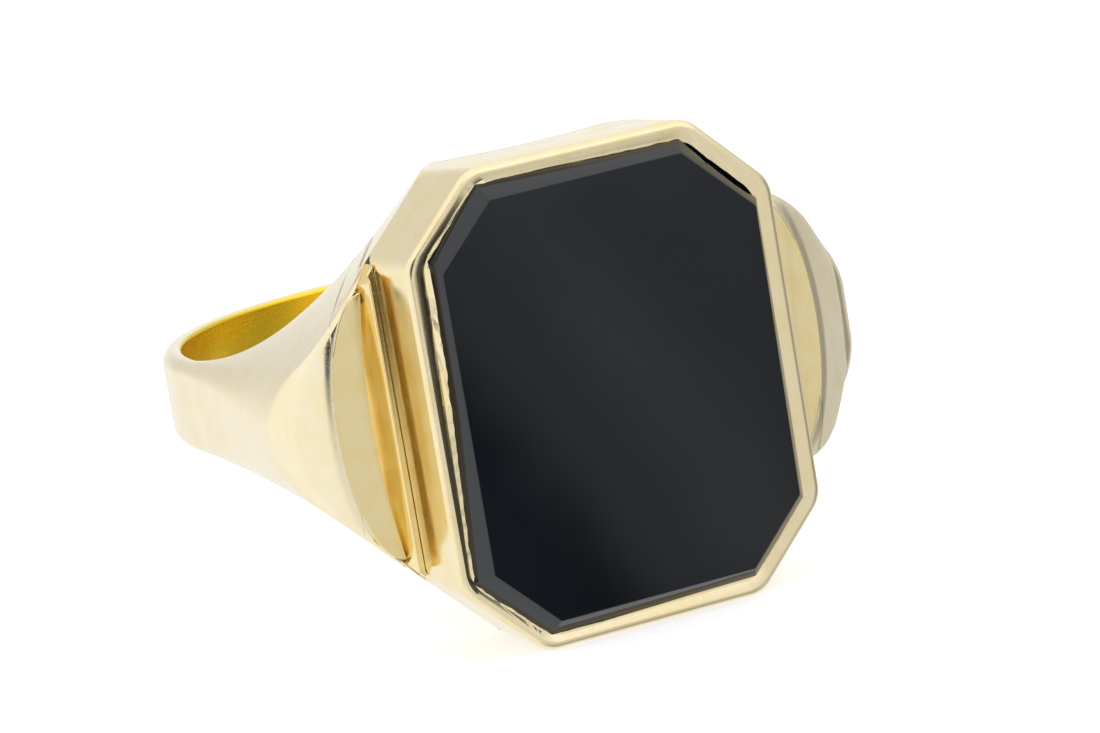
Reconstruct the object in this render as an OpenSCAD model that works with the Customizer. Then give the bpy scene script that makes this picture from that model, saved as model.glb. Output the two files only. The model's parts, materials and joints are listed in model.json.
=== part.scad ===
// Gentleman's signet ring: cut-corner head with a flat onyx tablet and stepped shoulders.
// The finger bore runs along Z with its centre at the origin, and the head faces -Y.

/* [Finger bore and band] */
// Diameter of the finger bore
bore_d = 19; // [16:0.5:23]
// Thickness of the band, measured outward from the bore
band_t = 0.75; // [0.6:0.05:1.6]
// Width of the band at the back of the finger
band_w_back = 2.8; // [2.2:0.1:3.2]
// Width of the band where the shoulders begin
band_w_side = 3.3; // [2.8:0.1:4.2]
// Radius on the outer edges of the band
band_edge_r = 0.35; // [0.2:0.05:0.5]

/* [Head] */
// Length of the head, along the finger
head_l = 16.5; // [14.5:0.1:20]
// Width of the head, across the finger
head_w = 13.6; // [11.8:0.1:16.5]
// Length that each corner is cut back along both sides
head_cut = 2.7; // [1.8:0.1:3.5]
// Height of the bezel rim above the bore
rim_rise = 4.4; // [3.8:0.1:5.6]
// Radius on the outer edge of the bezel rim
rim_edge_r = 0.34; // [0.1:0.02:0.4]
// How far the long walls lean in between the rim and the shoulder ledge
wall_lean = 0.25; // [0:0.05:0.5]
// Height of the joint between the collet and the gallery, below the rim
collet_h = 2.4; // [2.2:0.1:2.8]
// Width of the open window under the stone
window_w = 7.2; // [4:0.1:8.5]
// Length of the open window under the stone
window_l = 10; // [6:0.1:11.5]

/* [Stone and setting] */
// Thickness of the metal between the stone and the outside of the head
wall_t = 0.42; // [0.35:0.01:0.8]
// Gap left round the stone so that it drops in
stone_clear = 0.03; // [0.02:0.01:0.08]
// Thickness of the onyx tablet
stone_t = 2.2; // [1.9:0.1:2.4]
// Width of the bevel round the table of the stone
bevel_w = 0.6; // [0.3:0.05:1]
// Depth of the bevel round the table of the stone
bevel_h = 0.8; // [0.4:0.05:1]
// How far the metal is rubbed over the edge of the stone
lip_w = 0.21; // [0.1:0.01:0.25]
// Width of the bearer ledge that carries the stone
ledge_w = 1.1; // [0.8:0.1:1.6]
// Thickness of the setting cement under the stone
cement_t = 0.1; // [0.05:0.01:0.2]

/* [Shoulders] */
// Width across both shoulders at the ledge
shoulder_w = 21.9; // [19.5:0.1:24]
// Height of the flat shoulder ledge below the rim
ledge_drop = 3.45; // [3.1:0.05:3.8]
// Half width of the flat outer face of a shoulder at the ledge
hip_front = 1.35; // [1:0.05:1.8]
// Radius between the outer face and the flank at the ledge
hip_r_front = 1.5; // [0.6:0.1:2]
// Radius between the shoulder ledge and the outer face
crest_r = 0.6; // [0.2:0.05:0.8]
// Slope of the flank where the shoulder leaves the band
flank_slope_back = 0.08; // [0.05:0.01:0.2]
// How fast the flank opens from band to head
flank_power = 0.7; // [0.5:0.05:1.2]

/* [Steps on the shoulders] */
// Half length of the steps, along the finger
step_half_l = 4.6; // [3.6:0.1:5]
// Width of the foot of the ridge bar
bar_w = 0.6; // [0.4:0.02:0.8]
// Width of the ridge on the bar
ridge_w = 0.22; // [0.15:0.01:0.3]
// Height of the bar foot above the ledge
bar_foot_h = 0.6; // [0.3:0.05:0.8]
// Height of the ridge above the ledge
ridge_h = 1.15; // [0.7:0.05:1.4]
// Height of the crescent plate above the ledge
plate_h = 0.6; // [0.4:0.05:0.8]
// Reach of the crescent plate beyond the ridge bar
plate_reach = 1.65; // [1.1:0.05:1.7]
// Bow of the groove between the bar and the plate
groove_bow = 0.4; // [0.2:0.02:0.5]

/* [Hidden] */
$fn = 96;

gold = [0.9, 0.78, 0.45];
bright_gold = [0.96, 0.87, 0.6];
steps = 22;
arc_steps = 6;
crest_steps = 5;
over = 1;
bore_r = bore_d / 2;
band_r = bore_r + band_t;

// Heights above the bore axis, measured towards the face of the head.
rim_y = bore_r + rim_rise;
ledge_y = rim_y - ledge_drop;
collet_y = rim_y - collet_h;
lip_h = lip_w * bevel_h / bevel_w;
girdle_y = rim_y - lip_h;
table_y = girdle_y + bevel_h;
seat_y = table_y - stone_t;

head_x = head_w / 2;
head_z = head_l / 2;
foot_z = head_z - wall_lean;
shoulder_x = shoulder_w / 2;
pocket_inset = wall_t;
girdle_inset = wall_t + stone_clear;

function mix(a, b, t) = a + (b - a) * t;

// An octagon with square sides and 45 degree corners, drawn in XZ and moved in by inset.
function octagon(x, z, cut, inset) =
    let (hx = x - inset, hz = z - inset, c = cut - inset * (2 - sqrt(2)))
    [
        [hx, hz - c], [hx - c, hz], [-hx + c, hz], [-hx, hz - c],
        [-hx, -hz + c], [-hx + c, -hz], [hx - c, -hz], [hx, -hz + c],
    ];
function head_octagon(inset) = octagon(head_x, head_z, head_cut, inset);

// The cut-corner outline of the head at the ledge, whose corners line up with the shoulder flanks.
ledge_cut = head_x + foot_z - shoulder_x - hip_front;
foot_octagon = octagon(head_x, foot_z, ledge_cut, 0);
function wall_octagon(y) =
    let (t = (y - ledge_y) / (rim_y - ledge_y))
    octagon(head_x, mix(foot_z, head_z, t), mix(ledge_cut, head_cut, t), 0);

function lifted(outline, y) = [for (p = outline) [p[0], -y, p[1]]];

// A solid through a stack of outlines that all have the same number of points.
module loft(rings) {
    n = len(rings[0]);
    last = len(rings) - 1;
    points = [for (ring = rings) for (p = ring) p];
    sides = [
        for (i = [0 : last - 1]) for (j = [0 : n - 1])
            let (a = i * n + j, b = i * n + (j + 1) % n)
            each [[a, a + n, b], [b, a + n, b + n]]
    ];
    first_cap = [for (j = [0 : n - 1]) j];
    last_cap = [for (j = [n - 1 : -1 : 0]) last * n + j];
    polyhedron(points, concat([first_cap], sides, [last_cap]), convexity = 6);
}

// Extrudes a flat XZ drawing from one height above the bore axis to another.
module towards_face(y0, y1) {
    translate([0, -y0, 0])
        rotate([90, 0, 0])
            linear_extrude(height = y1 - y0)
                children();
}

module finger_bore() {
    cylinder(r = bore_r, h = 2 * head_l, center = true, $fn = 180);
}

// Shoulder shape, cut across at height y: flat outer face, rounded hip and sloping flank.
min_x = 1;
side_hip = band_w_side / 2 - flank_slope_back * band_t;
function rise(y) = y / ledge_y;
function slope(y) = mix(flank_slope_back, 1, pow(rise(y), flank_power));
function hip_z(y) = mix(side_hip, hip_front, rise(y));
function hip_r(y) = mix(band_edge_r, hip_r_front, rise(y));
function outer_x(y) = mix(band_r, shoulder_x, rise(y));
function crest_inset(y) =
    let (d = y - (ledge_y - crest_r))
    d <= 0 ? 0 : crest_r - sqrt(max(0, crest_r * crest_r - d * d));
function half_section(y) =
    let (
        e = crest_inset(y), m = slope(y), r = hip_r(y),
        x = outer_x(y) - e,
        z = hip_z(y) + m * e - e * sqrt(1 + m * m),
        turn = 90 - atan(m),
        z0 = z - r * tan(turn / 2),
        top = min(foot_z, z + m * (x - min_x)),
        flat_x = x - (top - z) / m,
        hip = [
            for (i = [0 : arc_steps])
                let (a = turn * i / arc_steps)
                [x - r + r * cos(a), z0 + r * sin(a)]
        ],
        upper = concat(hip, [[flat_x, top], [0, top]])
    )
    concat(upper, [for (i = [len(upper) - 1 : -1 : 0]) [upper[i][0], -upper[i][1]]]);
straight_y = ledge_y - crest_r;
levels = concat(
    [for (i = [0 : steps]) straight_y * i / steps],
    [for (i = [1 : crest_steps]) straight_y + crest_r * sin(90 * i / crest_steps)]
);

// The right half of everything between the band and the ledge, before the bore is cut.
module half_body() {
    loft([for (y = levels) lifted(half_section(y), y)]);
}

module side_block(x0, x1) {
    translate([x0, -rim_y, -head_l])
        cube([x1 - x0, rim_y, 2 * head_l]);
}

module shoulder() {
    difference() {
        intersection() {
            half_body();
            side_block(head_x, shoulder_x + over);
        }
        finger_bore();
    }
}

module shoulder_right() {
    color(gold) shoulder();
}

module shoulder_left() {
    color(gold)
        mirror([1, 0, 0])
            shoulder();
}

// Rounded strip section of the band, drawn with X outward and Y along the finger.
module band_section() {
    half = band_w_side / 2;
    translate([band_r - band_edge_r, 0])
        square([2 * band_edge_r, 2 * (half - band_edge_r)], center = true);
    translate([bore_r, -half])
        square([band_t - band_edge_r, 2 * half]);
    for (side = [-1, 1])
        translate([band_r - band_edge_r, side * (half - band_edge_r)])
            circle(r = band_edge_r);
}

module shank_band() {
    color(gold)
        intersection() {
            rotate_extrude(angle = 180, $fn = 180)
                band_section();
            rotate([90, 0, 90])
                linear_extrude(height = 4 * band_r, center = true)
                    polygon([
                        [0, -band_w_side / 2], [band_r, -band_w_back / 2],
                        [band_r, band_w_back / 2], [0, band_w_side / 2],
                    ]);
        }
}

module gallery() {
    color(gold)
        difference() {
            union() {
                intersection() {
                    union() {
                        half_body();
                        mirror([1, 0, 0])
                            half_body();
                    }
                    side_block(-head_x, head_x);
                }
                loft([lifted(foot_octagon, ledge_y), lifted(wall_octagon(collet_y), collet_y)]);
            }
            finger_bore();
            towards_face(0, rim_y)
                square([window_w, window_l], center = true);
        }
}

module bezel_collet() {
    rounding = [
        for (i = [0 : 4])
            let (a = 90 * i / 4, inset = rim_edge_r * (1 - cos(a)))
            lifted(head_octagon(inset), rim_y - rim_edge_r * (1 - sin(a)))
    ];
    past_rim = over / bevel_h * bevel_w;
    color(bright_gold)
        difference() {
            loft(concat([lifted(wall_octagon(collet_y), collet_y)], rounding));
            loft([
                lifted(head_octagon(pocket_inset), collet_y - over),
                lifted(head_octagon(pocket_inset), girdle_y),
                lifted(head_octagon(girdle_inset + lip_w), rim_y),
                lifted(head_octagon(girdle_inset + lip_w + past_rim), rim_y + over),
            ]);
        }
}

module stone_bearer() {
    color(gold)
        towards_face(collet_y, seat_y - cement_t)
            difference() {
                polygon(head_octagon(pocket_inset));
                polygon(head_octagon(pocket_inset + ledge_w));
            }
}

module setting_cement() {
    color([0.2, 0.18, 0.15])
        towards_face(seat_y - cement_t, seat_y)
            difference() {
                polygon(head_octagon(girdle_inset));
                polygon(head_octagon(pocket_inset + ledge_w));
            }
}

module onyx_tablet() {
    color([0.08, 0.09, 0.11])
        loft([
            lifted(head_octagon(girdle_inset), seat_y),
            lifted(head_octagon(girdle_inset), girdle_y),
            lifted(head_octagon(girdle_inset + bevel_w), table_y),
        ]);
}

// The steps end on the flank that runs on from the cut corners of the head.
module within_flanks(y0, y1) {
    reach = shoulder_x + hip_front;
    towards_face(y0, y1)
        polygon([[0, -reach], [reach, 0], [0, reach]]);
}

module ridge_bar() {
    ridge_x = head_x + bar_w - ridge_w;
    intersection() {
        translate([0, 0, -step_half_l])
            linear_extrude(height = 2 * step_half_l)
                polygon([
                    [head_x, -ledge_y], [head_x, -ledge_y - bar_foot_h],
                    [ridge_x - ridge_w / 4, -ledge_y - bar_foot_h], [ridge_x, -ledge_y - ridge_h],
                    [ridge_x + 3 / 4 * ridge_w, -ledge_y - ridge_h], [head_x + bar_w, -ledge_y],
                ]);
        within_flanks(0, rim_y);
    }
}

module ridge_bar_right() {
    color(bright_gold) ridge_bar();
}

module ridge_bar_left() {
    color(bright_gold)
        mirror([1, 0, 0])
            ridge_bar();
}

// Half-moon outline: a bowed inner edge beside the groove and an elliptical outer edge.
plate_points = 24;
plate_x = head_x + bar_w;
function moon_point(a, reach) = [plate_x + reach, step_half_l * sin(a)];
moon = concat(
    [
        for (i = [0 : plate_points])
            let (a = -90 + 180 * i / plate_points)
            moon_point(a, plate_reach * cos(a))
    ],
    [
        for (i = [plate_points - 1 : -1 : 1])
            let (a = -90 + 180 * i / plate_points)
            moon_point(a, groove_bow * pow(cos(a), 2))
    ]
);

module crescent_plate() {
    intersection() {
        towards_face(ledge_y, ledge_y + plate_h)
            polygon(moon);
        within_flanks(0, rim_y);
    }
}

module crescent_plate_right() {
    color(bright_gold) crescent_plate();
}

module crescent_plate_left() {
    color(bright_gold)
        mirror([1, 0, 0])
            crescent_plate();
}

shank_band();
shoulder_left();
shoulder_right();
gallery();
bezel_collet();
stone_bearer();
setting_cement();
onyx_tablet();
ridge_bar_left();
ridge_bar_right();
crescent_plate_left();
crescent_plate_right();
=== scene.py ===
import json
import math
import random

import bmesh
import bpy
import numpy as np
from mathutils import Matrix, Vector, noise


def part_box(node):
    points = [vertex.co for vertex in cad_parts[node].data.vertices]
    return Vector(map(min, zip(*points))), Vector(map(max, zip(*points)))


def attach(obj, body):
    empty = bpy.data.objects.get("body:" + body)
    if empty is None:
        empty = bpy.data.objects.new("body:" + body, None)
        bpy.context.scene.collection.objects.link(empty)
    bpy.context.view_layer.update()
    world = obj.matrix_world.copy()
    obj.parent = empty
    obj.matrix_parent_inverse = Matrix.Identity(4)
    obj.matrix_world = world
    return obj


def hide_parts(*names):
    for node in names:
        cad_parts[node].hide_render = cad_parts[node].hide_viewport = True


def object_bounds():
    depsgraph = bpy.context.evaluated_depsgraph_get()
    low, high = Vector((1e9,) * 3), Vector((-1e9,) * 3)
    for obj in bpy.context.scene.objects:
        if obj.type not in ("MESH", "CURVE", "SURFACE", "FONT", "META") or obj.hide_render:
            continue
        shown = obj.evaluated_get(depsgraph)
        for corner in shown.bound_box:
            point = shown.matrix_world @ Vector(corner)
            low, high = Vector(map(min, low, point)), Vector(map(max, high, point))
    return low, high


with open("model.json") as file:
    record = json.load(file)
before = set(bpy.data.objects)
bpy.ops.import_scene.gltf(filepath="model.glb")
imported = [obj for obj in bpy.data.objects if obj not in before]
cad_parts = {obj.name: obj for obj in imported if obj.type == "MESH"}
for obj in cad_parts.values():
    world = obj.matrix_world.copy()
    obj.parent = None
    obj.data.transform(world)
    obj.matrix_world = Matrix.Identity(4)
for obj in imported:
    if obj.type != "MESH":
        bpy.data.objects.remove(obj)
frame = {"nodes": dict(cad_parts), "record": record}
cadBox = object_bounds()
record = frame["record"]
mm = 0.001  # everything is shaped in millimetres and scaled to metres at the end
print("frame loaded")


# sizes taken from the frame, in millimetres
def boxOf(node):
    low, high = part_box(node)
    return low / mm, high / mm


bandLow, bandHigh = boxOf("shank_band")
shoulderLow, shoulderHigh = boxOf("shoulder_right")
galleryLow, galleryHigh = boxOf("gallery")
colletLow, colletHigh = boxOf("bezel_collet")
stoneLow, stoneHigh = boxOf("onyx_tablet")
barLow, barHigh = boxOf("ridge_bar_right")
plateLow, plateHigh = boxOf("crescent_plate_right")

boreR = record["mounts"][0]["dims"]["r_mm"]
bandR = bandHigh.y
ledgeH = -shoulderLow.y
shoulderX = shoulderHigh.x
headX = colletHigh.x
headZ = colletHigh.z
jointH = -colletHigh.y
rimH = -colletLow.y
footZ = headZ - (headZ - galleryHigh.z) * (rimH - ledgeH) / (rimH - jointH)
tableH = -stoneLow.y
seatH = -stoneHigh.y


# small helpers
def finishPiece(bm, name, replaced, material):
    bmesh.ops.remove_doubles(bm, verts=bm.verts, dist=0.0005)
    bmesh.ops.recalc_face_normals(bm, faces=bm.faces)
    bmesh.ops.scale(bm, vec=(mm, mm, mm), verts=bm.verts)
    mesh = bpy.data.meshes.new(name)
    bm.to_mesh(mesh)
    bm.free()
    piece = bpy.data.objects.new(name, mesh)
    bpy.context.scene.collection.objects.link(piece)
    mesh.materials.append(material)
    for face in mesh.polygons:
        face.use_smooth = True
    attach(piece, "root")
    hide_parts(replaced)
    return piece


def smoothStep(low, high, value):
    t = np.clip((value - low) / (high - low), 0, 1)
    return t * t * (3 - 2 * t)


def mix(a, b, t):
    return a + (b - a) * t


# shader node helpers
perMetre = 1 / mm


def addNode(tree, kind, inputs=None, **settings):
    node = tree.nodes.new(kind)
    for key, value in settings.items():
        setattr(node, key, value)
    for key, value in (inputs or {}).items():
        if isinstance(value, bpy.types.NodeSocket):
            tree.links.new(value, node.inputs[key])
        else:
            node.inputs[key].default_value = value
    return node


def math2(tree, operation, a, b=0.0, clamp=False):
    node = addNode(tree, "ShaderNodeMath", {0: a, 1: b}, operation=operation, use_clamp=clamp)
    return node.outputs[0]


def ramp(tree, value, low, high, toLow=0.0, toHigh=1.0):
    node = addNode(tree, "ShaderNodeMapRange", {
        "Value": value, "From Min": low, "From Max": high, "To Min": toLow, "To Max": toHigh,
    }, interpolation_type="SMOOTHSTEP")
    return node.outputs["Result"]


def blendColor(tree, factor, a, b, kind="MIX"):
    node = addNode(tree, "ShaderNodeMix", data_type="RGBA", blend_type=kind)
    for index, value in ((0, factor), (6, a), (7, b)):
        if isinstance(value, bpy.types.NodeSocket):
            tree.links.new(value, node.inputs[index])
        else:
            node.inputs[index].default_value = value
    return node.outputs[2]


def placeInMm(tree):
    place = addNode(tree, "ShaderNodeTexCoord").outputs["Object"]
    return addNode(tree, "ShaderNodeMapping", {"Vector": place, "Scale": (perMetre,) * 3}).outputs[0]


def mixFloat(tree, factor, a, b):
    return addNode(tree, "ShaderNodeMix", {0: factor, 2: a, 3: b}, data_type="FLOAT").outputs[0]


def newGroup(name, inputs, outputs):
    group = bpy.data.node_groups.new(name, "ShaderNodeTree")
    for label, kind, value in inputs:
        socket = group.interface.new_socket(label, in_out="INPUT", socket_type=kind)
        if value is not None:
            socket.default_value = value
    for label, kind in outputs:
        group.interface.new_socket(label, in_out="OUTPUT", socket_type=kind)
    source = group.nodes.new("NodeGroupInput")
    target = group.nodes.new("NodeGroupOutput")
    return group, source, target


def newMaterial(name):
    material = bpy.data.materials.new(name)
    material.use_nodes = True
    tree = material.node_tree
    shader = tree.nodes["Principled BSDF"]
    return material, tree, shader


# hand-polished metal: waviness, hairline scratches, pits and colour drift
polishLook = {
    "waveScale": 0.30, "waveDepth": 0.000022,
    "hairScale": 3.6, "hairDepth": 0.0000007,
    "hairRuns": [
        # turn and stretch of each run of scratches
        ((0.3, 0.5, 0.2), (0.25, 3.5, 5.5)),
        ((0.9, -0.4, 1.1), (4.5, 0.2, 4.0)),
        ((-0.5, 1.2, 0.4), (5.0, 4.0, 0.22)),
    ],
    "pitScale": 0.50, "pitSize": 0.045, "pitShare": 0.90, "pitColor": (0.09, 0.07, 0.05, 1),
}


def buildPolishGroup():
    group, source, target = newGroup("handPolish", [
        ("Pale Color", "NodeSocketColor", (0.93, 0.80, 0.5, 1)),
        ("Deep Color", "NodeSocketColor", (0.9, 0.7, 0.36, 1)),
        ("Roughness", "NodeSocketFloat", 0.15),
        ("Waviness", "NodeSocketFloat", 1.0),
        ("Scratches", "NodeSocketFloat", 1.0),
        ("Pits", "NodeSocketFloat", 1.0),
    ], [
        ("Color", "NodeSocketColor"), ("Roughness", "NodeSocketFloat"), ("Normal", "NodeSocketVector"),
    ])
    inMm = placeInMm(group)
    wave = addNode(group, "ShaderNodeTexNoise", {
        "Vector": inMm, "Scale": polishLook["waveScale"], "Detail": 2.0, "Roughness": 0.45,
    }).outputs["Fac"]
    drift = addNode(group, "ShaderNodeTexNoise", {
        "Vector": inMm, "Scale": 0.9, "Detail": 4.0, "Roughness": 0.6,
    }).outputs["Fac"]
    hairs = None
    for turn, stretch in polishLook["hairRuns"]:
        turned = addNode(group, "ShaderNodeMapping", {
            "Vector": inMm, "Rotation": turn, "Scale": stretch,
        }).outputs[0]
        lines = addNode(group, "ShaderNodeTexNoise", {
            "Vector": turned, "Scale": polishLook["hairScale"], "Detail": 2.0, "Roughness": 0.5,
        }).outputs["Fac"]
        fine = ramp(group, lines, 0.60, 0.68)
        hairs = fine if hairs is None else math2(group, "MAXIMUM", hairs, fine)
    spots = addNode(group, "ShaderNodeTexVoronoi", {"Vector": inMm, "Scale": polishLook["pitScale"]})
    lot = addNode(group, "ShaderNodeSeparateColor", {0: spots.outputs["Color"]}).outputs[0]
    chosen = math2(group, "GREATER_THAN", lot, polishLook["pitShare"])
    size = polishLook["pitSize"]
    near = ramp(group, spots.outputs["Distance"], size * 0.5, size, 1.0, 0.0)
    pits = math2(group, "MULTIPLY", math2(group, "MULTIPLY", near, chosen), source.outputs["Pits"])
    hairs = math2(group, "MULTIPLY", hairs, source.outputs["Scratches"])
    pale, deep = source.outputs["Pale Color"], source.outputs["Deep Color"]
    tone = blendColor(group, ramp(group, drift, 0.35, 0.7), pale, deep)
    dirty = blendColor(group, math2(group, "MULTIPLY", pits, 0.8), tone, polishLook["pitColor"])
    rough = math2(group, "ADD", source.outputs["Roughness"], math2(group, "MULTIPLY", hairs, 0.05))
    offMiddle = math2(group, "SUBTRACT", drift, 0.5)
    rough = math2(group, "ADD", rough, math2(group, "MULTIPLY", offMiddle, 0.10))
    rough = math2(group, "ADD", rough, math2(group, "MULTIPLY", pits, 0.35), clamp=True)
    waves = addNode(group, "ShaderNodeBump", {
        "Strength": source.outputs["Waviness"], "Distance": polishLook["waveDepth"], "Height": wave,
    }).outputs[0]
    cuts = math2(group, "SUBTRACT", 1.0, math2(group, "ADD", hairs, math2(group, "MULTIPLY", pits, 6.0)))
    final = addNode(group, "ShaderNodeBump", {
        "Strength": 1.0, "Distance": polishLook["hairDepth"], "Height": cuts, "Normal": waves,
    }).outputs[0]
    group.links.new(dirty, target.inputs["Color"])
    group.links.new(rough, target.inputs["Roughness"])
    group.links.new(final, target.inputs["Normal"])
    return group


handPolish = buildPolishGroup()


def goldMaterial(name, pale, deep, roughness, waviness=1.0, scratches=1.0):
    material, tree, shader = newMaterial(name)
    look = addNode(tree, "ShaderNodeGroup", node_tree=handPolish)
    for label, value in (
        ("Pale Color", (*pale, 1)), ("Deep Color", (*deep, 1)), ("Roughness", roughness),
        ("Waviness", waviness), ("Scratches", scratches),
    ):
        look.inputs[label].default_value = value
    shader.inputs["Metallic"].default_value = 1.0
    tree.links.new(look.outputs["Color"], shader.inputs["Base Color"])
    tree.links.new(look.outputs["Roughness"], shader.inputs["Roughness"])
    tree.links.new(look.outputs["Normal"], shader.inputs["Normal"])
    return material, tree, shader, look


fingerSide = {
    "start": 0.14, "end": 0.02,  # distance out from the bore over which the colour changes
    # painted reflection: unreally saturated golds for the finger side, standing in for gold reflected inside
    # the band
    "pale": (1.0, 0.80, 0.07, 1), "deep": (0.99, 0.70, 0.03, 1),
    "smooth": 0.18, "rough": 0.32, "lineDepth": 0.000004,
}


def castGold():
    # polished outside; on the finger side brushed lines and a painted reflection: a deeper, saturated gold
    # standing in for gold reflecting gold inside the band
    material, tree, shader, look = goldMaterial(
        "castGold", (0.95, 0.855, 0.62), (0.94, 0.82, 0.54), 0.16)
    inMm = placeInMm(tree)
    split = addNode(tree, "ShaderNodeSeparateXYZ", {0: inMm})
    flat = addNode(tree, "ShaderNodeCombineXYZ", {0: split.outputs[0], 1: split.outputs[1]}).outputs[0]
    radius = addNode(tree, "ShaderNodeVectorMath", {0: flat}, operation="LENGTH").outputs["Value"]
    inside = ramp(tree, radius, boreR + fingerSide["end"], boreR + fingerSide["start"], 1.0, 0.0)
    turn = math2(tree, "ARCTAN2", split.outputs[1], split.outputs[0])
    around = addNode(tree, "ShaderNodeCombineXYZ", {
        0: math2(tree, "MULTIPLY", turn, 1.4), 1: math2(tree, "MULTIPLY", split.outputs[2], 11.0),
    }).outputs[0]
    brushed = addNode(tree, "ShaderNodeTexNoise", {
        "Vector": around, "Scale": 1.6, "Detail": 5.0, "Roughness": 0.62,
    }).outputs["Fac"]
    # painted reflection: the saturated finger-side gold, varied along the brushed lines
    inner = blendColor(tree, ramp(tree, brushed, 0.3, 0.7), fingerSide["pale"], fingerSide["deep"])
    color = blendColor(tree, inside, look.outputs["Color"], inner)
    innerRough = ramp(tree, brushed, 0.3, 0.7, fingerSide["smooth"], fingerSide["rough"])
    roughness = mixFloat(tree, inside, look.outputs["Roughness"], innerRough)
    lines = addNode(tree, "ShaderNodeBump", {
        "Strength": 1.0, "Distance": fingerSide["lineDepth"],
        "Height": math2(tree, "MULTIPLY", brushed, inside),
        "Normal": look.outputs["Normal"],
    }).outputs[0]
    tree.links.new(color, shader.inputs["Base Color"])
    tree.links.new(roughness, shader.inputs["Roughness"])
    tree.links.new(lines, shader.inputs["Normal"])
    return material


castGoldLook = castGold()


# cast body: band, shoulders and gallery share one flowing surface
body = {
    "bandHalfSide": 1.59, "bandHalfBack": 1.34,  # half widths at the side and at the back
    "hipFront": 1.35,  # half width of the flat shoulder face at the ledge
    "backSlope": 0.08, "flankPower": 0.7, "flankStart": 0.05,
    "bandEdge": 0.45, "hipEdge": 1.1,  # softness of the line between face and flank
    "crestFace": 0.80, "crestFlank": 0.22,  # softness of the ledge's edge
    # fall outside the crescent and the bed the plate sits in
    "apronSlope": 0.82, "apronBed": 0.95, "apronTurn": 0.80, "apronStart": 0.20,
    "cornerEdge": 0.10, "boreEdge": 0.24,
    "rightFuller": 0.75, "rightLower": 0.38, "rightReach": 0.42,  # the right shoulder was filed less
    "windowX": 3.6, "windowZ": 5.0,
    "farthest": 13.0,  # outside the metal in every direction
    "wallMiddle": 0.36,  # distance from the bore to the line that sections start from
    "stations": 320, "around": 132, "traceSteps": 1440, "lineSteps": 1080, "halvings": 34,
}


def roundedEdge(a, b, radius):
    inner = np.minimum(np.maximum(a, b), -radius)
    return inner + np.hypot(np.maximum(a + radius, 0), np.maximum(b + radius, 0))


def ledgeTop(ax, z):
    # the metal rises to the crescent's outline and falls away outside it
    half, reach = plateHigh.z, plateHigh.x - plateLow.x
    u, v = np.maximum(ax - plateLow.x, 0) / reach, z / half
    q = np.maximum(np.hypot(u, v), 1e-6)
    away = (q - 1) * q / np.maximum(np.hypot(u / reach, v / half), 1e-6)
    rim = -plateLow.y - ledgeH - 0.02
    turnR, start = body["apronTurn"], body["apronTurn"] * math.sin(body["apronStart"])
    turnEnd = turnR * math.sin(math.atan(body["apronSlope"])) - start
    bend = np.clip(away, 0, turnEnd) + start
    fall = math.sqrt(turnR ** 2 - start ** 2) - np.sqrt(turnR ** 2 - bend ** 2)
    fall = fall + body["apronSlope"] * np.maximum(away - turnEnd, 0)
    lift = rim * smoothStep(-body["apronBed"], -0.05, away) - fall
    offHead = smoothStep(headX, headX + 0.45, ax)
    return ledgeH + np.maximum(lift, -0.6) * offHead


def bodyField(x, y, z):
    # below zero inside the metal, above zero outside
    ax, h = np.abs(x), -y
    radial = np.hypot(x, y)
    rise = np.clip(h / ledgeH, 0, 1.15)
    filled = smoothStep(headX, headX + 2.6, x) * smoothStep(0.1, 1, rise)
    uneven = np.where(x > 0, filled, 0)
    az = np.abs(z + body["rightLower"] * uneven)
    front = h > 0
    reach = mix(bandR, shoulderX, rise ** 1.6) + body["rightReach"] * uneven
    depth = np.where(front, reach - ax, bandR - radial)
    start = body["flankStart"]
    opening = (rise * rise / (rise + start) * (1 + start)) ** body["flankPower"]
    slope = mix(body["backSlope"], 1.0, opening)
    back = np.clip(y / bandR, 0, 1)
    hip = np.where(
        front,
        mix(body["bandHalfSide"], body["hipFront"], rise * rise),
        mix(body["bandHalfSide"], body["bandHalfBack"], back * back),
    ) + body["rightFuller"] * uneven
    flank = (az - hip - slope * depth) / np.sqrt(1 + slope * slope)
    hipEdge = mix(body["bandEdge"], body["hipEdge"], np.clip(rise, 0, 1))
    field = roundedEdge(-depth, flank, hipEdge)
    nearFace = smoothStep(shoulderX - 1.5, shoulderX - 0.4, ax)
    offHead = smoothStep(headX + 0.1, headX + 0.6, ax)
    crest = 0.01 + body["crestFlank"] * offHead
    crest = crest + (body["crestFace"] - body["crestFlank"]) * nearFace
    steep = math.sqrt(1 + body["apronSlope"] ** 2 * 0.8)
    top = (h - ledgeTop(ax, z)) / np.where(ax > plateLow.x, steep, 1)
    field = roundedEdge(field, top, crest)
    endEdge = np.where(h > ledgeH - 0.4, 0.02, body["cornerEdge"])
    field = roundedEdge(field, np.abs(z) - footZ, endEdge)
    return roundedEdge(field, boreR - radial, body["boreEdge"])


def bodyNormal(points):
    step = 0.004
    grad = []
    for axis in range(3):
        shift = np.zeros(3)
        shift[axis] = step
        ahead, behind = points + shift, points - shift
        grad.append(bodyField(*ahead.T) - bodyField(*behind.T))
    grad = np.stack(grad, 1)
    return grad / np.maximum(np.linalg.norm(grad, axis=1, keepdims=True), 1e-9)


def castSection(theta, phi):
    # distance from the middle of the thin wall out to the surface, by halving
    midR = boreR + body["wallMiddle"]
    shape = np.broadcast_shapes(theta.shape, phi.shape)
    near, far = np.zeros(shape), np.full(shape, body["farthest"])
    for _ in range(body["halvings"]):
        t = (near + far) / 2
        r, z = midR + t * np.cos(phi), t * np.sin(phi)
        outside = bodyField(r * np.cos(theta), r * np.sin(theta), z) > 0
        far = np.where(outside, t, far)
        near = np.where(outside, near, t)
    r, z = midR + near * np.cos(phi), near * np.sin(phi)
    return np.stack([r * np.cos(theta), r * np.sin(theta), z], -1)


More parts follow.
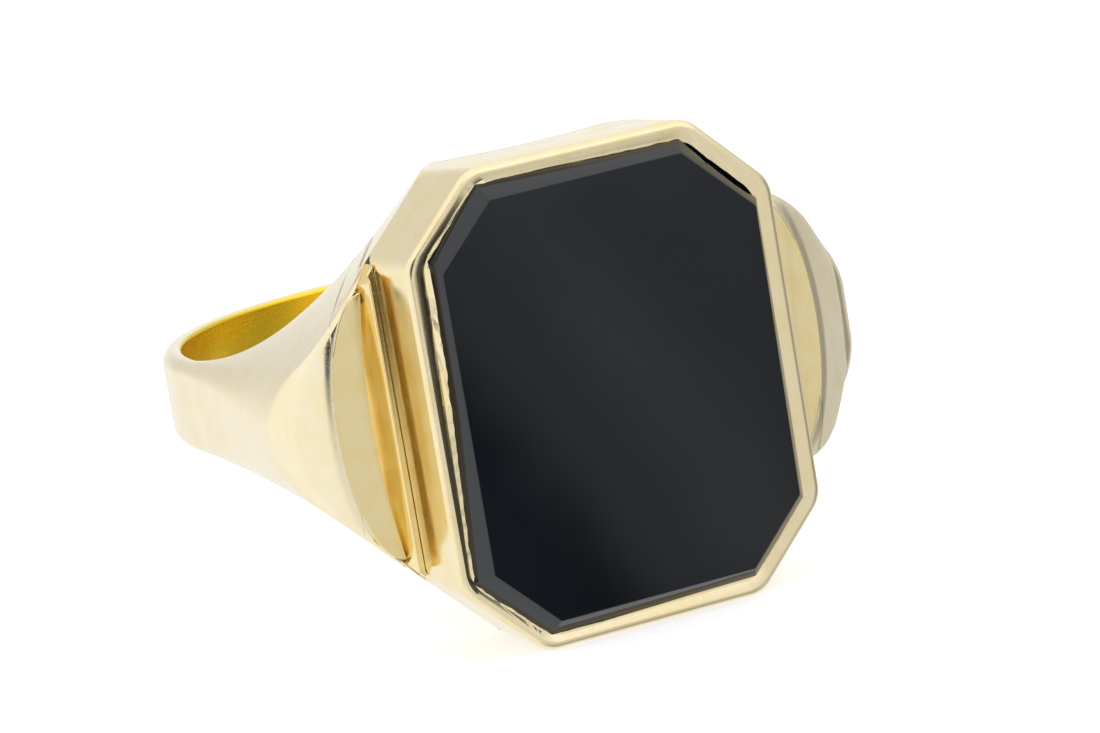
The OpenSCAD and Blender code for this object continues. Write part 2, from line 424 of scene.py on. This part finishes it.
def spread(points, count, turnShare):
    # even steps along a closed line, closer together where it turns
    ahead = np.roll(points, -1, 0) - points
    length = np.linalg.norm(ahead, axis=1)
    heading = ahead / np.maximum(length[:, None], 1e-9)
    turning = np.arccos(np.clip(np.sum(heading * np.roll(heading, 1, 0), 1), -1, 1))
    weight = length / length.sum() + turnShare * turning / turning.sum()
    total = np.concatenate([[0], np.cumsum(weight)])
    return np.interp(np.arange(count) / count * total[-1], total, np.arange(len(points) + 1))


def buildBody():
    stations, around = body["stations"], body["around"]
    trace = np.linspace(0, 2 * math.pi, body["traceSteps"] + 1)
    outline = castSection(trace[:-1], np.zeros(1))
    theta = np.interp(spread(outline, stations, 0.8), np.arange(len(trace)), trace)
    fine = np.linspace(0, 2 * math.pi, body["lineSteps"] + 1)
    rough = castSection(theta[:, None], fine[None, :-1])
    phi = np.stack([
        np.interp(spread(line, around, 2.2), np.arange(len(fine)), fine) for line in rough
    ])
    places = castSection(theta[:, None], phi)
    bm = bmesh.new()
    upright = Matrix.Translation((boreR, 0, 0)) @ Matrix.Rotation(math.pi / 2, 4, "X")
    bmesh.ops.create_circle(bm, segments=around, radius=0.3, matrix=upright)
    bmesh.ops.spin(
        bm, geom=bm.verts[:] + bm.edges[:], cent=(0, 0, 0), axis=(0, 0, 1), dvec=(0, 0, 0),
        angle=2 * math.pi, steps=stations, use_merge=True, use_duplicate=False)
    for vert in bm.verts:
        station = round(math.atan2(vert.co.y, vert.co.x) / (2 * math.pi) * stations) % stations
        radial = math.hypot(vert.co.x, vert.co.y) - boreR
        step = round(math.atan2(vert.co.z, radial) / (2 * math.pi) * around) % around
        vert.co = places[station, step]
    bmesh.ops.recalc_face_normals(bm, faces=bm.faces)
    return bm


def cutAt(bm, co, no, **settings):
    geom = bm.verts[:] + bm.edges[:] + bm.faces[:]
    return bmesh.ops.bisect_plane(bm, geom=geom, dist=1e-5, plane_co=co, plane_no=no, **settings)


def slicePart(bm, co, no, keep):
    # cuts with a plane and keeps one side, closing the cut
    cut = cutAt(bm, co, no, clear_outer=keep == "inner", clear_inner=keep == "outer")
    edges = [e for e in cut["geom_cut"] if isinstance(e, bmesh.types.BMEdge) and e.is_boundary]
    bmesh.ops.holes_fill(bm, edges=edges, sides=0)


def openWindow(bm):
    # the opening behind the stone, straight through the gallery
    for side in (1, -1):
        cutAt(bm, (body["windowX"] * side, 0, 0), (1, 0, 0))
    for side in (1, -1):
        cutAt(bm, (0, 0, body["windowZ"] * side), (0, 0, 1))
    gone = []
    for face in bm.faces:
        middle = face.calc_center_median()
        if abs(middle.x) < body["windowX"] and abs(middle.z) < body["windowZ"]:
            gone.append(face)
    bmesh.ops.delete(bm, geom=gone, context="FACES")
    rims = [e for e in bm.edges if e.is_boundary]
    bmesh.ops.bridge_loops(bm, edges=rims)


def shadeFromField(piece):
    # exact normals on the flowing surface, flat ones on the cuts
    mesh = piece.data
    points = np.array([v.co for v in mesh.vertices]) / mm
    exact = bodyNormal(points)
    normals = []
    for face in mesh.polygons:
        flat = np.array(face.normal)
        for index in face.vertices:
            good = float(exact[index] @ flat) > 0.72
            normals.append(tuple(exact[index] if good else flat))
    mesh.normals_split_custom_set(normals)


def buildCastPieces():
    full = buildBody()
    centre, forward = (0, 0, 0), (0, -1, 0)
    rightWall = (headX, 0, 0), (1, 0, 0)
    leftWall = (-headX, 0, 0), (-1, 0, 0)
    plans = {
        "shankBand": ("shank_band", [(centre, forward, "inner")]),
        "shoulderRight": ("shoulder_right", [(centre, forward, "outer"), (*rightWall, "outer")]),
        "shoulderLeft": ("shoulder_left", [(centre, forward, "outer"), (*leftWall, "outer")]),
        "galleryBody": ("gallery", [
            (centre, forward, "outer"), (*rightWall, "inner"), (*leftWall, "inner"),
        ]),
    }
    for name, (node, cuts) in plans.items():
        part = full.copy()
        for co, no, keep in cuts:
            slicePart(part, co, no, keep)
        if node == "gallery":
            openWindow(part)
        piece = finishPiece(part, name, node, castGoldLook)
        shadeFromField(piece)
        print("cast piece", name, len(piece.data.polygons), "faces")
    full.free()


buildCastPieces()


# octagon outlines shared by the collet and the stone
headCut = 2.7  # length that each corner of the head is cut back
flankSum = shoulderX + body["hipFront"]
footCut = headX + footZ - flankSum
# offsets of the hand-cut corners, in the order of the outline
handSlips = [
    (0, -0.06), (0, 0), (0, 0.11), (0.34, 0.26),
    (-0.12, -0.09), (0, -0.15), (0.11, 0), (0, -0.11),
]


def octagon(x, z, cut):
    return [
        (x, z - cut), (x - cut, z), (cut - x, z), (-x, z - cut),
        (-x, cut - z), (cut - x, -z), (x - cut, -z), (x, cut - z),
    ]


def insetOctagon(inset):
    return octagon(headX - inset, headZ - inset, headCut - inset * (2 - math.sqrt(2)))


def slipped(outline, share):
    # the hand-cut corners are not quite where a drawing would have them
    return [(x + dx * share, z + dz * share) for (x, z), (dx, dz) in zip(outline, handSlips)]


def softEdges(bm, edges, offset, segments=3, **settings):
    bmesh.ops.bevel(
        bm, geom=edges, affect="EDGES", offset=offset, segments=segments, profile=0.5,
        material=-1, **settings)


def spokes(top):
    return [e for v in top.verts for e in v.link_edges if e.other_vert(v) not in top.verts]


def startFace(bm, outline, h):
    verts = [bm.verts.new((x, -h, z)) for x, z in outline]
    return bm.faces.new(verts)


def raiseFace(bm, face, outline, h, keepBelow=False):
    # extrudes a face and sets its corners on the next outline
    out = bmesh.ops.extrude_face_region(bm, geom=[face])
    top = [f for f in out["geom"] if isinstance(f, bmesh.types.BMFace)][0]
    if face.is_valid and not keepBelow:
        bmesh.ops.delete(bm, geom=[face], context="FACES_ONLY")
    for vert in top.verts:
        here = Vector((vert.co.x, vert.co.z)).normalized()
        x, z = max(outline, key=lambda p: Vector(p).normalized().dot(here))
        vert.co = (x, -h, z)
    return top


# bezel collet: leaning walls, rounded rim and the metal rubbed over the stone
stone = {
    "girdleInset": 0.52, "bevelWidth": 0.53, "girdleDrop": 0.8,
    "edge": 0.035, "cornerSlip": 0.20,
}

collet = {
    "cornerEdge": 0.40, "rimEdge": 0.22, "rimSteps": 6,
    "crestWidth": 0.05, "lipWidth": 0.38, "lipDrop": 0.105, "hollowDrop": 0.10, "hollowShare": 0.68,
    "deepCorners": (0.24, 0.13),  # the rubbed metal sinks on the left, most of all at its upper end
    "pocketInset": 0.42, "pocketTop": 13.5, "windowInset": 2.6,
    # the waver of the rubbed edge, as noise scales and shares, and the plain random part
    "ragCuts": 70, "rag": 0.026, "ragWaves": ((1.1, 1.5), (3.1, 0.8)), "ragLoose": 0.15,
    "hollowWave": 1.4,
}


def buildCollet():
    bm = bmesh.new()
    lipLayer = bm.verts.layers.float.new("lipRing")
    face = startFace(bm, octagon(headX, footZ, footCut), ledgeH)
    base = face
    edge = collet["rimEdge"]
    chains = []
    for k in range(collet["rimSteps"] + 1):
        turn = math.pi / 2 * k / collet["rimSteps"]
        outline = insetOctagon(edge * (1 - math.cos(turn)))
        face = raiseFace(bm, face, outline, rimH - edge * (1 - math.sin(turn)), keepBelow=k == 0)
        chains += spokes(face)
    if base.is_valid:
        bmesh.ops.delete(bm, geom=[base], context="FACES_ONLY")
    inset = edge + collet["crestWidth"]
    lip = inset + collet["lipWidth"]
    lipH = rimH - collet["lipDrop"]
    for ring, outline, h in (
        (0, insetOctagon(inset), rimH),
        (1, slipped(insetOctagon(mix(inset, lip, collet["hollowShare"])), 0.62), rimH - collet["hollowDrop"]),
        (2, slipped(insetOctagon(lip), 1.0), lipH),
    ):
        face = raiseFace(bm, face, outline, h)
        chains += spokes(face)
        for vert in face.verts:
            vert[lipLayer] = ring
            if ring == 1 and vert.co.x < -headX * 0.8:
                vert.co.y = collet["deepCorners"][0 if vert.co.z > 0 else 1] - rimH
    face = raiseFace(bm, face, insetOctagon(collet["pocketInset"]), collet["pocketTop"])
    for vert in face.verts:
        vert[lipLayer] = 0
    face = raiseFace(bm, face, insetOctagon(collet["pocketInset"]), jointH)
    face = raiseFace(bm, face, insetOctagon(collet["windowInset"] + collet["pocketInset"]), jointH)
    face = raiseFace(bm, face, insetOctagon(collet["windowInset"] + collet["pocketInset"]), ledgeH)
    bmesh.ops.delete(bm, geom=[face], context="FACES_ONLY")
    bmesh.ops.bridge_loops(bm, edges=[e for e in bm.edges if e.is_boundary])
    softEdges(bm, [e for e in chains if e.is_valid], collet["cornerEdge"], segments=5)
    raggedLip(bm, lipLayer)
    return bm


def raggedLip(bm, lipLayer):
    # the burnished edge wanders a little against the stone
    rings = []
    for e in bm.edges:
        levels = [v[lipLayer] for v in e.verts]
        if min(levels) > 0.9 and abs(levels[0] - levels[1]) < 0.05 and e.calc_length() > 1:
            rings.append(e)
    bmesh.ops.subdivide_edges(bm, edges=rings, cuts=collet["ragCuts"], use_grid_fill=True)
    wander = random.Random(7)
    climb = stone["girdleDrop"] / stone["bevelWidth"]
    for vert in bm.verts:
        level = vert[lipLayer]
        if level > 0.9:
            away = Vector((vert.co.x / headX, 0, vert.co.z / headZ)).normalized()
            rag = sum(noise.noise(vert.co * scale) * share for scale, share in collet["ragWaves"])
            rag += wander.uniform(-collet["ragLoose"], collet["ragLoose"])
            step = rag * collet["rag"] * (1.0 if level > 1.9 else 0.3)
            vert.co += away * step
            if level > 1.9:
                vert.co.y += step * climb
            else:
                vert.co.y += noise.noise(vert.co * collet["hollowWave"]) * collet["rag"] * 0.5
    bm.verts.layers.float.remove(lipLayer)


colletGoldLook = goldMaterial("colletGold", (0.95, 0.83, 0.55), (0.94, 0.79, 0.45), 0.17)[0]
colletPiece = finishPiece(buildCollet(), "bezelCollet", "bezel_collet", colletGoldLook)
print("collet done", len(colletPiece.data.polygons), "faces")


# onyx tablet: hand-cut octagon, one corner cut back further
def buildStone():
    bm = bmesh.new()
    girdle = insetOctagon(stone["girdleInset"])
    table = insetOctagon(stone["girdleInset"] + stone["bevelWidth"])
    slip = stone["cornerSlip"]
    girdle = slipped(girdle, 1.0)
    girdle[0] = (girdle[0][0] + 0.02, girdle[0][1] - slip)
    girdle[1] = (girdle[1][0] - slip * 0.5, girdle[1][1])
    table[0] = (table[0][0] + 0.10, table[0][1] - slip * 1.1)
    table[1] = (table[1][0] - slip * 1.2, table[1][1] + 0.05)
    base = startFace(bm, girdle, seatH)
    face = raiseFace(bm, base, girdle, tableH - stone["girdleDrop"], keepBelow=True)
    face = raiseFace(bm, face, table, tableH)
    crisp = [e for e in bm.edges if max(-v.co.y for v in e.verts) > seatH + 0.5]
    softEdges(bm, crisp, stone["edge"])
    return bm


onyxLook = {
    "dark": (0.0014, 0.0030, 0.0050, 1), "pale": (0.0034, 0.0058, 0.0095, 1),
    "speckShare": 0.72, "speckColor": (0.12, 0.12, 0.12, 1),
    "smooth": 0.05, "rough": 0.11, "waveDepth": 0.000004, "ior": 1.50,
    "edgeSpecular": 0.72,
    # painted reflection: the table's reflectivity rises and falls in slantwise bands and one streak, painting
    # light and dark areas on it
    "slant": (0.86, 0.50), "haze": (0.08, 0.33), "streak": 0.09,
}


def onyxMaterial():
    material, tree, shader = newMaterial("blackOnyx")
    inMm = placeInMm(tree)
    clouds = addNode(tree, "ShaderNodeTexNoise", {
        "Vector": inMm, "Scale": 0.13, "Detail": 4.0, "Roughness": 0.55, "Distortion": 0.6,
    }).outputs["Fac"]
    grain = addNode(tree, "ShaderNodeTexNoise", {"Vector": inMm, "Scale": 6.0, "Detail": 3.0}).outputs["Fac"]
    base = blendColor(tree, ramp(tree, clouds, 0.35, 0.75), onyxLook["dark"], onyxLook["pale"])
    specks = addNode(tree, "ShaderNodeTexVoronoi", {"Vector": inMm, "Scale": 0.30})
    lot = addNode(tree, "ShaderNodeSeparateColor", {0: specks.outputs["Color"]}).outputs[0]
    chosen = math2(tree, "GREATER_THAN", lot, onyxLook["speckShare"])
    dot = math2(tree, "MULTIPLY", ramp(tree, specks.outputs["Distance"], 0.015, 0.04, 1.0, 0.0), chosen)
    color = blendColor(tree, math2(tree, "MULTIPLY", dot, 0.5), base, onyxLook["speckColor"])
    tree.links.new(color, shader.inputs["Base Color"])
    rough = ramp(tree, grain, 0.3, 0.8, onyxLook["smooth"], onyxLook["rough"])
    tree.links.new(rough, shader.inputs["Roughness"])
    wave = addNode(tree, "ShaderNodeTexNoise", {"Vector": inMm, "Scale": 0.5, "Detail": 2.0}).outputs["Fac"]
    bump = addNode(tree, "ShaderNodeBump", {
        "Strength": 1.0, "Distance": onyxLook["waveDepth"], "Height": wave,
    }).outputs[0]
    tree.links.new(bump, shader.inputs["Normal"])
    shader.inputs["IOR"].default_value = onyxLook["ior"]
    # painted reflection: slantwise bands and a streak of reflectivity over the table, while the bevels stay
    # evenly reflective
    split = addNode(tree, "ShaderNodeSeparateXYZ", {0: inMm})
    across = math2(tree, "MULTIPLY", split.outputs[0], onyxLook["slant"][0])
    along = math2(tree, "MULTIPLY", split.outputs[2], onyxLook["slant"][1])
    slant = math2(tree, "ADD", math2(tree, "ADD", across, along), math2(tree, "MULTIPLY", clouds, 2.0))
    haze = ramp(tree, slant, -4.6, -1.6, *onyxLook["haze"])
    offPaintedStreak = math2(tree, "ABSOLUTE", math2(tree, "SUBTRACT", slant, 1.8))
    streak = ramp(tree, offPaintedStreak, 0.0, 3.2, onyxLook["streak"], 0.0)
    normal = addNode(tree, "ShaderNodeTexCoord").outputs["Normal"]
    facing = addNode(tree, "ShaderNodeSeparateXYZ", {0: normal}).outputs[1]
    onTable = ramp(tree, facing, -0.99, -0.92, 1.0, 0.0)
    level = mixFloat(tree, onTable, onyxLook["edgeSpecular"], math2(tree, "ADD", haze, streak))
    tree.links.new(level, shader.inputs["Specular IOR Level"])
    return material


finishPiece(buildStone(), "onyxTablet", "onyx_tablet", onyxMaterial())
print("stone done")


# ridge bars and crescent plates on the shoulder ledges
steps = {
    "barEdge": 0.06, "ridgeWidth": 0.22, "footRise": 0.60, "ridgeFoot": 0.12, "ridgeTop": 0.10,
    "barSide": 0.26, "flankGap": 0.07,
    "plateEdge": 0.05, "bow": 0.40, "grooveDepth": 0.34, "outlineCuts": 40,
}


def buildBar(side):
    bm = bmesh.new()
    bottom, top = -ledgeH, barLow.y
    near, far = barLow.x, barHigh.x
    ridgeX = far - steps["ridgeWidth"]
    foot = bottom - steps["footRise"]
    outline = [
        (near, bottom), (near, foot), (ridgeX - steps["ridgeFoot"], foot), (ridgeX, top),
        (ridgeX + steps["ridgeTop"], top), (far, bottom - steps["barSide"]), (far, bottom),
    ]
    face = bm.faces.new([bm.verts.new((x * side, y, barLow.z)) for x, y in outline])
    out = bmesh.ops.extrude_face_region(bm, geom=[face])
    for vert in [v for v in out["geom"] if isinstance(v, bmesh.types.BMVert)]:
        vert.co.z = barHigh.z
    for vert in bm.verts:
        vert.co.z = math.copysign(flankSum - abs(vert.co.x) - steps["flankGap"], vert.co.z)
    sharp = []
    for e in bm.edges:
        heights = [v.co.y for v in e.verts]
        if min(heights) < foot + 0.01 and max(heights) < bottom - 0.01:
            sharp.append(e)
    softEdges(bm, sharp, steps["barEdge"])
    return bm


def buildPlate(side):
    bm = bmesh.new()
    near, far, half, top = plateLow.x, plateHigh.x, plateHigh.z, -plateLow.y
    turn = Matrix.Rotation(math.pi / 2, 4, "X")
    stretched = Matrix.Diagonal((far - near, 1, half, 1)) @ turn
    bmesh.ops.create_circle(
        bm, cap_ends=True, segments=96, radius=1,
        matrix=Matrix.Translation((near, -ledgeH, 0)) @ stretched)
    cutAt(bm, (near + 0.001, 0, 0), (1, 0, 0), clear_inner=True)
    edge = [e for e in bm.edges if all(v.co.x < near + 0.01 for v in e.verts)]
    bmesh.ops.subdivide_edges(bm, edges=edge, cuts=steps["outlineCuts"])
    for vert in bm.verts:
        if vert.co.x < near + 0.01:
            vert.co.x += steps["bow"] * (1 - (vert.co.z / half) ** 2)
    face = max(bm.faces, key=lambda f: f.calc_area())
    out = bmesh.ops.extrude_face_region(bm, geom=[face])
    for vert in [v for v in out["geom"] if isinstance(v, bmesh.types.BMVert)]:
        vert.co.y = -top
    # the groove runs out against the bar as a hollow that is deepest there
    for vert in bm.verts:
        below = vert.co.y > -top + 0.01
        inner = vert.co.x < near + steps["bow"] + 0.01
        if below and inner and abs(vert.co.z) < half - 0.01:
            vert.co.x = min(vert.co.x, near - 0.12)
            vert.co.y = -top + steps["grooveDepth"]
    rim = [e for e in bm.edges if all(v.co.y < -top + 0.01 for v in e.verts)]
    softEdges(bm, rim, steps["plateEdge"], clamp_overlap=True)
    if side < 0:
        bmesh.ops.scale(bm, vec=(-1, 1, 1), verts=bm.verts)
    return bm


stepGoldLook = goldMaterial("stepGold", (0.95, 0.80, 0.45), (0.94, 0.76, 0.38), 0.17, waviness=0.6)[0]
for side, word in ((-1, "Left"), (1, "Right")):
    finishPiece(buildBar(side), "ridgeBar" + word, "ridge_bar_" + word.lower(), stepGoldLook)
    finishPiece(buildPlate(side), "crescentPlate" + word, "crescent_plate_" + word.lower(), stepGoldLook)
print("steps done")


# smooth shading only where an edge is soft
def creaseShading(names, degrees):
    for name in names:
        mesh = bpy.data.objects[name].data
        limit = math.radians(degrees)
        bm = bmesh.new()
        bm.from_mesh(mesh)
        for edge in bm.edges:
            edge.smooth = len(edge.link_faces) == 2 and edge.calc_face_angle() < limit
        for face in bm.faces:
            face.smooth = True
        bm.to_mesh(mesh)
        bm.free()


creaseShading([
    "bezelCollet", "onyxTablet", "ridgeBarLeft", "ridgeBarRight",
    "crescentPlateLeft", "crescentPlateRight",
], 32)

# hidden pieces keep their solid and get a finish
bearerLook = goldMaterial(
    "bearerGold", (0.88, 0.68, 0.32), (0.72, 0.50, 0.18), 0.34, waviness=0.5, scratches=1.6)[0]
cementLook, cementTree, cementShader = newMaterial("cementLook")
cementNoise = addNode(cementTree, "ShaderNodeTexNoise", {
    "Vector": addNode(cementTree, "ShaderNodeTexCoord").outputs["Object"], "Scale": 1800.0, "Detail": 4.0,
}).outputs["Fac"]
cementTone = blendColor(cementTree, cementNoise, (0.05, 0.045, 0.04, 1), (0.13, 0.11, 0.09, 1))
cementTree.links.new(cementTone, cementShader.inputs["Base Color"])
cementShader.inputs["Roughness"].default_value = 0.85
for node, look in (("stone_bearer", bearerLook), ("setting_cement", cementLook)):
    mesh = frame["nodes"][node].data
    mesh.materials.clear()
    mesh.materials.append(look)

# camera: standing to the left of the head, a little above it
cameraSetup = {
    "turn": 23.07, "rise": 10.74, "roll": -9.64,
    "distance": 196.1, "aside": 3.502, "up": -0.816, "lens": 180.0,
}


def placeCamera():
    turn, rise, roll = (math.radians(cameraSetup[k]) for k in ("turn", "rise", "roll"))
    ahead = Vector((math.sin(turn) * math.cos(rise), math.cos(turn) * math.cos(rise), -math.sin(rise)))
    right0 = Vector((math.cos(turn), -math.sin(turn), 0))
    up0 = Vector((math.sin(turn) * math.sin(rise), math.cos(turn) * math.sin(rise), math.cos(rise)))
    right = right0 * math.cos(roll) + up0 * math.sin(roll)
    up = up0 * math.cos(roll) - right0 * math.sin(roll)
    data = bpy.data.cameras.new("viewCamera")
    data.lens = cameraSetup["lens"]
    data.sensor_width = 36.0
    data.sensor_fit = "HORIZONTAL"
    data.clip_start = 0.005
    data.clip_end = 20
    camera = bpy.data.objects.new("viewCamera", data)
    bpy.context.scene.collection.objects.link(camera)
    place = (right * cameraSetup["aside"] + up * cameraSetup["up"] - ahead * cameraSetup["distance"]) * mm
    rotation = Matrix((right, up, -ahead)).transposed().to_4x4()
    camera.matrix_world = Matrix.Translation(place) @ rotation
    bpy.context.scene.camera = camera


placeCamera()

# floor
floorMaterial, floorTree, floorShader = newMaterial("paleFloor")
floorShader.inputs["Base Color"].default_value = (0.9, 0.9, 0.9, 1)
floorShader.inputs["Roughness"].default_value = 0.8
floorShader.inputs["Emission Color"].default_value = (1, 1, 1, 1)
floorShader.inputs["Emission Strength"].default_value = 0.45
floorBm = bmesh.new()
floorGap = 0.00002
bmesh.ops.create_circle(
    floorBm, cap_ends=True, segments=64, radius=1.2,
    matrix=Matrix.Translation((0, 0, cadBox[0].z - floorGap)))
floorMesh = bpy.data.meshes.new("floor")
floorBm.to_mesh(floorMesh)
floorBm.free()
floorMesh.materials.append(floorMaterial)
floorPiece = bpy.data.objects.new("floor", floorMesh)
bpy.context.scene.collection.objects.link(floorPiece)
floorPiece.visible_glossy = False

# light tent: pale all round, dimmer in front where the room is open
tent = {
    "base": 0.97, "backdrop": 1.0,
    "patches": [
        # direction, inner and outer angle in degrees, brightness
        ((0.0, -0.25, 1.0), 20, 60, 1.08),
        ((-1.0, 0.3, -0.1), 25, 60, 1.03),
        ((-0.12, 0.90, 0.46), 8, 34, 0.76),
        ((0.385, -0.904, -0.186), 16, 44, 0.74),
        ((0.40, -0.76, 0.50), 10, 32, 1.20),
        ((1.0, 0.25, -0.20), 22, 52, 0.64),
        ((0.92, -0.34, -0.19), 8, 34, 0.34),
        ((0.38, -0.44, -0.81), 10, 34, 0.45),
        ((-0.45, -0.87, -0.24), 5, 20, 0.85),
        ((-0.385, -0.904, 0.17), 9, 22, 0.03),
    ],
}


def lightTent():
    world = bpy.data.worlds.new("lightTent")
    bpy.context.scene.world = world
    world.use_nodes = True
    tree = world.node_tree
    background = tree.nodes["Background"]
    direction = addNode(tree, "ShaderNodeTexCoord").outputs["Generated"]
    level = tent["base"]
    for spot, inner, outer, value in tent["patches"]:
        facing = addNode(tree, "ShaderNodeVectorMath", {
            0: direction, 1: Vector(spot).normalized(),
        }, operation="DOT_PRODUCT").outputs["Value"]
        weight = ramp(tree, facing, math.cos(math.radians(outer)), math.cos(math.radians(inner)))
        level = mixFloat(tree, weight, level, value)
    seen = addNode(tree, "ShaderNodeLightPath").outputs["Is Camera Ray"]
    shown = mixFloat(tree, seen, level, tent["backdrop"])
    tree.links.new(shown, background.inputs["Strength"])
    background.inputs["Color"].default_value = (1, 1, 1, 1)


lightTent()
bpy.context.scene.view_settings.view_transform = "Standard"
